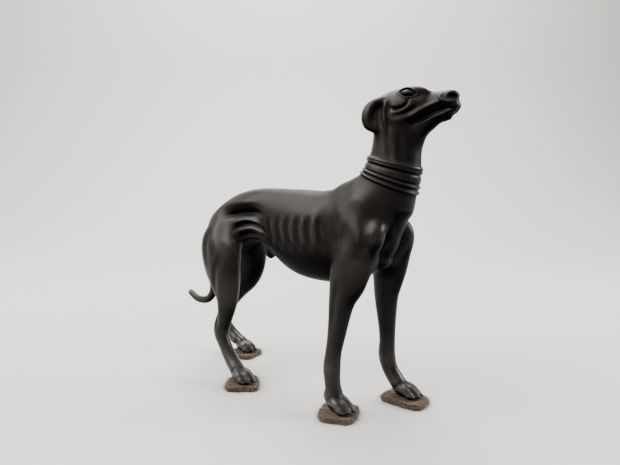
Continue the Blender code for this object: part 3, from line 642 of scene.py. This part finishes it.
def eye_relief(points):
    """The eyeball, the groove round it and its lids."""
    x, z, length, height, tilt = EYE
    angle = math.radians(tilt)
    u = (points[:, 0] - x) * math.cos(angle) + (points[:, 2] - z) * math.sin(angle)
    v = (points[:, 2] - z) * math.cos(angle) - (points[:, 0] - x) * math.sin(angle)
    r = np.sqrt((u / length)**2 + (v / height)**2 * (1 + 0.6 * np.minimum((u / length)**2, 2)))
    r[np.abs(points[:, 1]) < 1.5] = 9
    ball_part = 0.42 * np.clip(1 - r * r, 0, 1)
    groove = (-0.36 - 0.16 * ramp(v, -0.4, 0.5)) * np.exp(-((r - 1.12) / 0.17)**2)
    lids = 0.27 * np.exp(-((r - 1.5) / 0.24)**2)
    return ball_part + groove + lids


def collar_relief(points):
    """The collar's bands and ridges, by the share of its height."""
    (x0, z0), (x1, z1) = COLLAR_FOOT
    (x2, z2), (x3, z3) = COLLAR_HEAD
    foot = z0 + (points[:, 0] - x0) * (z1 - z0) / (x1 - x0)
    head = z2 + (points[:, 0] - x2) * (z3 - z2) / (x3 - x2)
    share = (points[:, 2] - foot) / (head - foot)
    near = (points[:, 0] > -14) & (points[:, 0] < 24) & (points[:, 2] > 60) & (points[:, 2] < 88)
    share[~near] = -9
    relief = 0.45 * ramp(share, -0.05, 0.03) * (1 - ramp(share, 0.96, 1.04))
    for middle, width, height in COLLAR_RIDGES:
        relief += height * np.exp(-((share - middle) / width)**2)
    return relief


def chest_relief(points):
    """Furrow and ridges down the front of the chest, seen from ahead."""
    flat = points[:, 1:]
    front = ramp(points[:, 0], -2, 1) * (points[:, 2] < 66)
    relief = np.zeros(len(points))
    add_stroke(relief, flat, front, 0.7, -0.3, [(0.4, 52), (0.3, 48), (0, 43)])
    for side in (RIGHT, LEFT):
        furrow = [(5.6, 60), (5.0, 55), (4.5, 50), (3.6, 45), (2.6, 41)]
        add_stroke(relief, flat, front, 1.0, -0.9, [(side * y, z) for y, z in furrow])
        add_stroke(relief, flat, front, 0.8, 0.3, [(side * 3.9, 58), (side * 3.5, 53), (side * 3.0, 48)])
    return relief


# %% Carve
COLLAR_LOWEST = 64.5
LAST_SOFTNESS, LAST_ROUNDS = 0.3, 3


def carve(mesh):
    """Cuts everything into the fused skin."""
    points = get_points(mesh) / SHARE
    normals = get_normals(mesh)
    flat = points[:, [0, 2]]
    out = np.abs(points[:, 1])
    outward = ramp(normals[:, 1] * np.sign(points[:, 1]), 0.05, 0.45)
    relief = eye_relief(points) + collar_relief(points) + chest_relief(points)
    for side, least, width, height, path in STROKES + FINE_STROKES:
        hold = ramp(out, least - 0.8, least + 0.8) if least else np.ones(len(out))
        if least >= 2:
            hold = hold * outward
        if side != BOTH:
            hold = hold * (points[:, 1] * side > 0)
        add_stroke(relief, flat, hold, width, height, path)
    add_ribs(relief, flat, ramp(out, 2, 4) * outward)
    set_points(mesh, (points + normals * relief[:, None]) * SHARE)


def refine_above(thing, height):
    """Cuts each face above a height into four, for the finest carving."""
    pick(thing)
    bpy.ops.object.mode_set(mode="EDIT")
    bpy.ops.mesh.select_mode(type="FACE")
    bpy.ops.mesh.select_all(action="DESELECT")
    bpy.ops.object.mode_set(mode="OBJECT")
    for face in thing.data.polygons:
        face.select = face.center.z > height
    bpy.ops.object.mode_set(mode="EDIT")
    bpy.ops.mesh.subdivide(number_cuts=1, smoothness=0.6)
    bpy.ops.object.mode_set(mode="OBJECT")


refine_above(dog, COLLAR_LOWEST * SHARE)
carve(dog.data)
points = get_points(dog.data)
points = relaxed(dog.data, points, np.full(len(points), LAST_SOFTNESS), LAST_ROUNDS)
points[:, 2] = np.maximum(points[:, 2], 0)
set_points(dog.data, points)
print("carved", len(STROKES) + len(FINE_STROKES), "strokes")

# %% [markdown]
# ## Fewer faces where the skin is plain
#
# The fused skin has small faces everywhere. Decimate joins them where the surface is nearly flat
# and keeps them on the head, the collar and the paws.

# %% Decimate and put the dog in its place
BRONZE_FACES = 185_000
SOLE_LEVEL = 0.00006          # points lower than this are laid flat

apply_modifier(dog, "DECIMATE", ratio=min(1, BRONZE_FACES / (2 * len(dog.data.polygons))),
               use_collapse_triangulate=True)
points = get_points(dog.data)
points[points[:, 2] < SOLE_LEVEL, 2] = 0
points += (*FRONT_PAWS_AT, FELT_THICKNESS + SOLE_GAP)
set_points(dog.data, points)
pick(dog)
bpy.ops.object.shade_smooth()
print("bronze:", len(dog.data.polygons), "faces, from", points.min(axis=0), "to", points.max(axis=0))

# %% [markdown]
# ## Wear
#
# Hands polish the high places of a bronze, and wax and dust stay in the low ones. Each point is
# compared with a smoothed copy of the skin: where it stands out the number is above zero, where
# it lies back it is below. A short comparison gives the attribute "wear", of edges and creases,
# and a long one gives "form", of broad swellings and hollows. The material reads both.

# %% Measure the high and low places
def mark_wear(thing, name, rounds, scale):
    """Stores how far each point stands out of the smoothed surface."""
    mesh = thing.data
    points = get_points(mesh)
    softened = relaxed(mesh, points, np.full(len(points), 0.6), rounds)
    height = np.einsum("ij,ij->i", points - softened, get_normals(mesh))
    mark = mesh.attributes.new(name, "FLOAT", "POINT")
    mark.data.foreach_set("value", np.clip(0.5 + height / scale, 0, 1))


mark_wear(dog, "wear", 14, 0.0006)
mark_wear(dog, "form", 90, 0.0024)
print("wear and form measured")

# %% [markdown]
# ## Bronze
#
# Old patinated bronze is nearly black and brown at once. It is a metal under a thin dark skin, so
# it shines, but softly: roughness between 0.4 and 0.5, with clouds of duller patina. Rubbed edges
# are a lighter brown, and hollows are darker and dull. What faces up is tinted a lighter grey, the
# ridges of the paws are painted paler as dust and painted highlight, and what faces down is
# painted near black as shade and made dull.

# %% Node helper
def wire(material):
    """A short way to add nodes and links to a material."""
    material.use_nodes = True
    nodes, links = material.node_tree.nodes, material.node_tree.links
    nodes.clear()

    def add(kind, inputs=None, **settings):
        node = nodes.new(kind)
        for name, value in settings.items():
            setattr(node, name, value)
        for name, value in (inputs or {}).items():
            if isinstance(value, bpy.types.NodeSocket):
                links.new(value, node.inputs[name])
            else:
                node.inputs[name].default_value = value
        return node

    return add


def mix_colors(add, factor, a, b, blend="MIX"):
    """A colour mix, and the socket of its result."""
    node = add("ShaderNodeMix", data_type="RGBA", blend_type=blend)
    links = node.id_data.links
    for socket, value in ((node.inputs[0], factor), (node.inputs[6], a), (node.inputs[7], b)):
        if isinstance(value, bpy.types.NodeSocket):
            links.new(value, socket)
        else:
            socket.default_value = value
    return node.outputs[2]


def spread(add, value, low, high, to_low=0.0, to_high=1.0):
    """Maps a value from one range to another and keeps it inside."""
    return add("ShaderNodeMapRange", {"Value": value, "From Min": low, "From Max": high,
                                      "To Min": to_low, "To Max": to_high}).outputs[0]


def noise(add, place, scale, detail=4.0, rough=0.55):
    return add("ShaderNodeTexNoise", {"Vector": place, "Scale": scale, "Detail": detail,
                                      "Roughness": rough}).outputs["Fac"]


# %% Bronze material
DARK_PATINA = (0.0048, 0.0037, 0.0035, 1)
BROWN_PATINA = (0.0170, 0.0108, 0.0096, 1)
RUBBED_BRONZE = (0.062, 0.053, 0.047, 1)
UP_FACING_GREY = (0.038, 0.036, 0.032, 1)
PAW_DUST_AND_HIGHLIGHT = (0.070, 0.064, 0.058, 1)
PAINTED_UNDERSIDE_SHADE = (0.0012, 0.0009, 0.0009, 1)
UNDER_SHINE, TOP_SHINE, PAW_SHINE = 0.02, 0.36, 0.14


def bronze_material():
    material = bpy.data.materials.new("patinated_bronze")
    add = wire(material)
    place = add("ShaderNodeTexCoord").outputs["Object"]
    wear = add("ShaderNodeAttribute", attribute_name="wear").outputs["Fac"]
    form = add("ShaderNodeAttribute", attribute_name="form").outputs["Fac"]
    clouds = noise(add, place, 45)
    specks = noise(add, place, 900, 3)
    grain = noise(add, place, 2600, 2)
    color = mix_colors(add, spread(add, clouds, 0.35, 0.68), DARK_PATINA, BROWN_PATINA)
    color = mix_colors(add, spread(add, form, 0.5, 0.2, 0, 0.45), color, DARK_PATINA)
    rubbed = add("ShaderNodeMath", {0: spread(add, wear, 0.68, 0.98, 0, 0.75),
                                    1: spread(add, specks, 0.25, 0.6, 0.3, 1)},
                 operation="MULTIPLY").outputs[0]
    color = mix_colors(add, rubbed, color, RUBBED_BRONZE)
    facing = add("ShaderNodeSeparateXYZ", {0: add("ShaderNodeNewGeometry").outputs["Normal"]}).outputs["Z"]
    # What faces up is tinted a lighter grey.
    up_facing_grey = add("ShaderNodeMath", {0: spread(add, facing, 0.1, 0.9, 0, 0.5),
                                   1: spread(add, clouds, 0.3, 0.7, 0.4, 1)},
                operation="MULTIPLY").outputs[0]
    color = mix_colors(add, up_facing_grey, color, UP_FACING_GREY)
    height = add("ShaderNodeSeparateXYZ", {0: place}).outputs["Z"]
    # Dust and painted highlight: the ridges of the paws and lower legs are made paler, standing in for
    # their highlights as well as for dust.
    low = add("ShaderNodeMath", {0: spread(add, height, 0.030, 0.012, 0, 1),
                                 1: spread(add, wear, 0.55, 0.9, 0, 0.85)}, operation="MULTIPLY").outputs[0]
    color = mix_colors(add, low, color, PAW_DUST_AND_HIGHLIGHT)
    # Painted shade: what faces down is made near black, because shade falls there.
    painted_under_shade = spread(add, facing, 0.15, -0.4, 0, 1)
    color = mix_colors(add, painted_under_shade, color, PAINTED_UNDERSIDE_SHADE)
    shine = add("ShaderNodeMath", {0: spread(add, facing, -0.35, 0.3, UNDER_SHINE, TOP_SHINE),
                                   1: spread(add, height, 0.040, 0.014, 0, PAW_SHINE)},
                operation="ADD").outputs[0]
    rough = spread(add, clouds, 0.3, 0.7, 0.40, 0.50)
    rough = add("ShaderNodeMath", {0: rough, 1: spread(add, wear, 0.7, 0.2, -0.06, 0.16)},
                operation="ADD").outputs[0]
    rough = add("ShaderNodeMath", {0: rough, 1: spread(add, height, 0.045, 0.015, 0, -0.10)},
                operation="ADD").outputs[0]
    bumps = add("ShaderNodeBump", {"Height": specks, "Strength": 0.1, "Distance": 0.0002})
    fine = add("ShaderNodeBump", {"Height": grain, "Strength": 0.08, "Distance": 0.0001,
                                  "Normal": bumps.outputs[0]})
    shader = add("ShaderNodeBsdfPrincipled", {
        "Base Color": color, "Roughness": rough, "Metallic": 0.25, "Specular IOR Level": shine,
        "Normal": fine.outputs[0]})
    add("ShaderNodeOutputMaterial", {"Surface": shader.outputs[0]})
    return material


dog.data.materials.clear()
dog.data.materials.append(bronze_material())
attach(dog, "root")
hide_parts("greyhound")
print("bronze material on", dog.name)

# %% [markdown]
# ## Felt pads
#
# The pads were cut from a sheet of wool felt with scissors, so no corner is true and the edges
# have come loose in pale hairs. Each starts as a flat ring of points that is filled, extruded to
# the felt's thickness, remeshed to an even skin and roughened with a clouds texture.

# %% The body of a pad
PAD_SIDES = 40
PAD_SQUARENESS = 4.5
PAD_GRAIN = 0.00042
FELT_FOOT = 0.0004            # points lower than this are laid flat
FELT_RISE = 0.0006            # how far the rough top may rise over the sheet
# Felt pads: middle x, y, length and width in metres, turn in degrees, seed of the uneven edge.
PADS = {
    "felt_pad_front_right": (-6.0 * SHARE, -11.4 * SHARE, FELT_WIDTH, FELT_WIDTH, 18, 1.0),
    "felt_pad_front_left": (6.2 * SHARE, 11.3 * SHARE, 1.25 * FELT_WIDTH, 0.92 * FELT_WIDTH, -4, 2.1),
    "felt_pad_hind_right": (-47.2 * SHARE, -12.8 * SHARE, FELT_WIDTH, FELT_WIDTH, 40, 3.3),
    "felt_pad_hind_left": (-72.0 * SHARE, 12.9 * SHARE, 1.05 * FELT_WIDTH, FELT_WIDTH, 8, 4.6),
}


def pad_outline(angle, length, width, seed):
    """A square with soft corners and uneven edges, as (u, v) from the middle of the pad."""
    c, s = math.cos(angle), math.sin(angle)
    square = (abs(c)**PAD_SQUARENESS + abs(s)**PAD_SQUARENESS)**(-1 / PAD_SQUARENESS)
    ragged = 1 + 0.035 * math.sin(3 * angle + seed) + 0.02 * math.sin(7 * angle + 2.3 * seed)
    return c * square * ragged * length / 2, s * square * ragged * width / 2


def pad_place(u, v, middle_x, middle_y, turn):
    """Where (u, v) on a pad lies in the frame."""
    yaw = math.radians(turn)
    return (FRONT_PAWS_AT[0] + middle_x + u * math.cos(yaw) - v * math.sin(yaw),
            FRONT_PAWS_AT[1] + middle_y + u * math.sin(yaw) + v * math.cos(yaw))


def felt_body(name, middle_x, middle_y, length, width, turn, seed):
    """The slab of a pad, remeshed to an even skin and smoothed."""
    bpy.ops.object.select_all(action="DESELECT")
    bpy.ops.mesh.primitive_circle_add(vertices=PAD_SIDES, radius=1, fill_type="NGON")
    pad = bpy.context.object
    pad.name = name
    for i, vertex in enumerate(pad.data.vertices):
        u, v = pad_outline(2 * math.pi * i / PAD_SIDES, length, width, seed)
        vertex.co = (*pad_place(u, v, middle_x, middle_y, turn), 0)
    bpy.ops.object.mode_set(mode="EDIT")
    bpy.ops.mesh.select_all(action="SELECT")
    bpy.ops.mesh.extrude_region_move(TRANSFORM_OT_translate={"value": (0, 0, FELT_THICKNESS)})
    bpy.ops.mesh.select_all(action="SELECT")
    bpy.ops.mesh.normals_make_consistent(inside=False)
    bpy.ops.object.mode_set(mode="OBJECT")
    apply_modifier(pad, "REMESH", mode="VOXEL", voxel_size=PAD_GRAIN)
    apply_modifier(pad, "SMOOTH", factor=0.5, iterations=3)
    return pad


def roughen(pad, seed):
    """Lumps and tufts, with the underside kept flat and the top kept from rising far."""
    lumps = bpy.data.textures.new("felt_lumps", "CLOUDS")
    lumps.noise_scale = 0.0011
    apply_modifier(pad, "DISPLACE", texture=lumps, texture_coords="LOCAL", strength=0.0009, mid_level=0.5)
    tufts = bpy.data.textures.new("felt_tufts", "CLOUDS")
    tufts.noise_scale = 0.0034
    apply_modifier(pad, "DISPLACE", texture=tufts, texture_coords="LOCAL", strength=0.0012, mid_level=0.5)
    points = get_points(pad.data)
    points[points[:, 2] < FELT_FOOT, 2] = 0
    points[:, 2] = np.minimum(points[:, 2], FELT_THICKNESS + FELT_RISE)
    set_points(pad.data, points)
    pick(pad)
    bpy.ops.object.shade_smooth()


# %% [markdown]
# ## Loose hairs
#
# What tells felt from card is its hairy outline. Each hair is a tiny tapering tube of a few
# triangles that starts inside the pad and curls outward. They are real mesh, so they also
# show in the outline of an exported model.

# %% Loose hairs of the felt
HAIR_COUNT = 1700
HAIR_RADIUS = 0.000048
HAIR_LENGTHS = (0.0007, 0.0024)
HAIR_RINGS = 4


def hair_mesh(roots, ways, lengths, curls):
    """All the hairs of one pad as points and faces."""
    points, faces = [], []
    for root, way, length, curl in zip(roots, ways, lengths, curls):
        start = len(points)
        side = way.orthogonal().normalized()
        other = way.cross(side)
        for k in range(HAIR_RINGS):
            t = k / (HAIR_RINGS - 1)
            middle = root + way * length * t + curl * length * t * t
            radius = HAIR_RADIUS * (1 - 0.7 * t)
            for m in range(3):
                angle = 2 * math.pi * m / 3
                points.append(middle + side * radius * math.cos(angle) + other * radius * math.sin(angle))
        for k in range(HAIR_RINGS - 1):
            a = start + 3 * k
            for m in range(3):
                n = (m + 1) % 3
                faces.append((a + m, a + n, a + 3 + n, a + 3 + m))
        faces.append((start, start + 2, start + 1))
        end = start + 3 * (HAIR_RINGS - 1)
        faces.append((end, end + 1, end + 2))
    return points, faces


def felt_hairs(name, middle_x, middle_y, length, width, turn, seed):
    """Hairs round the edge of a pad and some on its top."""
    draw = np.random.default_rng(int(seed * 100))
    roots, ways, lengths, curls = [], [], [], []
    for _ in range(HAIR_COUNT):
        angle = draw.uniform(0, 2 * math.pi)
        on_top = draw.random() < 0.35
        inward = draw.uniform(0.4, 0.95) if on_top else 0.97
        height = FELT_THICKNESS * (0.97 if on_top else draw.uniform(0.12, 0.98))
        u, v = pad_outline(angle, length * inward, width * inward, seed)
        x, y = pad_place(u, v, middle_x, middle_y, turn)
        outward = Vector((x - FRONT_PAWS_AT[0] - middle_x, y - FRONT_PAWS_AT[1] - middle_y, 0)).normalized()
        wander = Vector(draw.normal(0, 0.5, 3))
        lift = 0.5 if on_top else 0.1
        way = (outward + wander + UP * lift).normalized()
        curl = Vector(draw.normal(0, 0.45, 3))
        curl.z = abs(curl.z) * 0.4
        span = draw.uniform(*HAIR_LENGTHS) * (0.6 if on_top else 1)
        if height + (way.z + curl.z) * span < 0.0002:
            way.z = abs(way.z)
        roots.append(Vector((x, y, height)))
        ways.append(way)
        lengths.append(span)
        curls.append(curl)
    points, faces = hair_mesh(roots, ways, lengths, curls)
    mesh = bpy.data.meshes.new(name)
    mesh.from_pydata(points, [], faces)
    hairs = bpy.data.objects.new(name, mesh)
    bpy.context.collection.objects.link(hairs)
    return hairs


# %% Felt materials
DARK_FELT = (0.010, 0.0052, 0.0026, 1)
BROWN_FELT = (0.092, 0.046, 0.020, 1)
GOLDEN_FIBRE = (0.31, 0.185, 0.090, 1)
DARK_HAIR = (0.12, 0.082, 0.055, 1)
PALE_HAIR = (0.42, 0.34, 0.26, 1)


def felt_material():
    material = bpy.data.materials.new("brown_felt")
    add = wire(material)
    place = add("ShaderNodeTexCoord").outputs["Object"]
    blotches = noise(add, place, 260, 5, 0.65)
    fibres = noise(add, place, 1800, 4, 0.7)
    color = mix_colors(add, spread(add, blotches, 0.3, 0.7), DARK_FELT, BROWN_FELT)
    color = mix_colors(add, spread(add, fibres, 0.5, 0.72, 0, 0.8), color, GOLDEN_FIBRE)
    bumps = add("ShaderNodeBump", {"Height": fibres, "Strength": 0.8, "Distance": 0.0004})
    shader = add("ShaderNodeBsdfPrincipled", {
        "Base Color": color, "Roughness": 0.95, "Sheen Weight": 0.35, "Sheen Roughness": 0.5,
        "Normal": bumps.outputs[0]})
    add("ShaderNodeOutputMaterial", {"Surface": shader.outputs[0]})
    return material


def hair_material():
    material = bpy.data.materials.new("loose_felt_hair")
    add = wire(material)
    place = add("ShaderNodeTexCoord").outputs["Object"]
    shades = noise(add, place, 900, 3)
    color = mix_colors(add, spread(add, shades, 0.35, 0.65), DARK_HAIR, PALE_HAIR)
    shader = add("ShaderNodeBsdfPrincipled", {"Base Color": color, "Roughness": 0.8})
    add("ShaderNodeOutputMaterial", {"Surface": shader.outputs[0]})
    return material


felt, loose_hair = felt_material(), hair_material()

# %% Make the four pads
for node, values in PADS.items():
    pad = felt_body(node + "_felt", *values)
    roughen(pad, values[-1])
    pad.data.materials.clear()
    pad.data.materials.append(felt)
    hairs = felt_hairs(node + "_hairs", *values)
    hairs.data.materials.append(loose_hair)
    pick(pad, hairs)
    bpy.ops.object.join()
    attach(pad, "root")
    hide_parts(node)
    print(pad.name, len(pad.data.polygons), "faces")

# %% [markdown]
# ## Floor and light
#
# A plain pale floor that curves up into a backdrop, as in a studio, so no horizon cuts through the
# picture. One large soft lamp stands above and to the left, as a window would, one hangs overhead,
# a small one on the right draws the edge of the throat and the breast, and one washes the
# backdrop. Large lamps give bronze the long soft highlights that show its form, and a dim sky
# keeps its shaded side dark.

# %% Floor and backdrop
SWEEP_WIDTH, SWEEP_FRONT, SWEEP_BACK, SWEEP_HEIGHT = 5.0, 1.6, 1.1, 2.4
SWEEP_RADIUS = 0.55

bpy.ops.object.select_all(action="DESELECT")
bpy.ops.mesh.primitive_plane_add(size=1, location=(0, 0, 0))
floor = bpy.context.object
floor.name = "floor"
for vertex in floor.data.vertices:
    vertex.co.x *= SWEEP_WIDTH
    vertex.co.y = SWEEP_BACK if vertex.co.y > 0 else -SWEEP_FRONT
bpy.ops.object.mode_set(mode="EDIT")
bpy.ops.mesh.select_mode(type="EDGE")
bpy.ops.mesh.select_all(action="DESELECT")
bpy.ops.object.mode_set(mode="OBJECT")
for edge in floor.data.edges:
    edge.select = all(floor.data.vertices[i].co.y > 0 for i in edge.vertices)
bpy.ops.object.mode_set(mode="EDIT")
bpy.ops.mesh.extrude_region_move(TRANSFORM_OT_translate={"value": (0, 0, SWEEP_HEIGHT)})
bpy.ops.mesh.select_all(action="DESELECT")
bpy.ops.object.mode_set(mode="OBJECT")
for edge in floor.data.edges:
    ends = [floor.data.vertices[i].co for i in edge.vertices]
    edge.select = all(end.y > 0 and end.z < 0.01 for end in ends)
bpy.ops.object.mode_set(mode="EDIT")
bpy.ops.mesh.bevel(offset=SWEEP_RADIUS, segments=24)
bpy.ops.mesh.select_all(action="SELECT")
bpy.ops.object.mode_set(mode="OBJECT")
bpy.ops.object.shade_smooth()
floor.rotation_euler.z = math.atan2(LOOK_ALONG[1], LOOK_ALONG[0]) - math.pi / 2
bpy.ops.object.transform_apply(location=False, rotation=True, scale=False)


def floor_material():
    material = bpy.data.materials.new("pale_floor")
    add = wire(material)
    shader = add("ShaderNodeBsdfPrincipled", {"Base Color": (0.78, 0.77, 0.74, 1), "Roughness": 0.75,
                                              "Specular IOR Level": 0.2})
    add("ShaderNodeOutputMaterial", {"Surface": shader.outputs[0]})
    return material


floor.data.materials.append(floor_material())
print("floor:", len(floor.data.polygons), "faces")

# %% Lamps and sky
def soft_lamp(name, place, target, size, watts, tint):
    """A square lamp that looks at a point."""
    bpy.ops.object.light_add(type="AREA", location=place)
    lamp = bpy.context.object
    lamp.name = name
    lamp.data.size = size
    lamp.data.energy = watts
    lamp.data.color = tint
    aim = target - Vector(place)
    lamp.rotation_euler = aim.to_track_quat("-Z", "Y").to_euler()


MIDDLE = Vector((0, 0, FIGURE_HEIGHT * 0.55))
BACKDROP_MIDDLE = Vector((*LOOK_ALONG, 0)) * SWEEP_BACK + UP * 0.35

soft_lamp("window", (-0.56, -0.70, 0.98), MIDDLE, 1.15, 25, (1.0, 0.98, 0.95))
soft_lamp("top", (-0.02, -0.10, 1.10), MIDDLE, 1.0, 4, (1.0, 1.0, 1.0))
soft_lamp("rim", (0.80, 0.62, 0.50), MIDDLE, 0.4, 8, (0.95, 0.97, 1.0))
soft_lamp("backdrop_wash", (-0.35, 0.45, 1.5), BACKDROP_MIDDLE, 0.9, 30, (1.0, 1.0, 0.98))

sky = bpy.data.worlds.new("sky")
bpy.context.scene.world = sky
sky.use_nodes = True
glow = sky.node_tree.nodes["Background"]
glow.inputs["Color"].default_value = (0.88, 0.88, 0.87, 1)
glow.inputs["Strength"].default_value = 0.12
print("four lamps and a dim sky")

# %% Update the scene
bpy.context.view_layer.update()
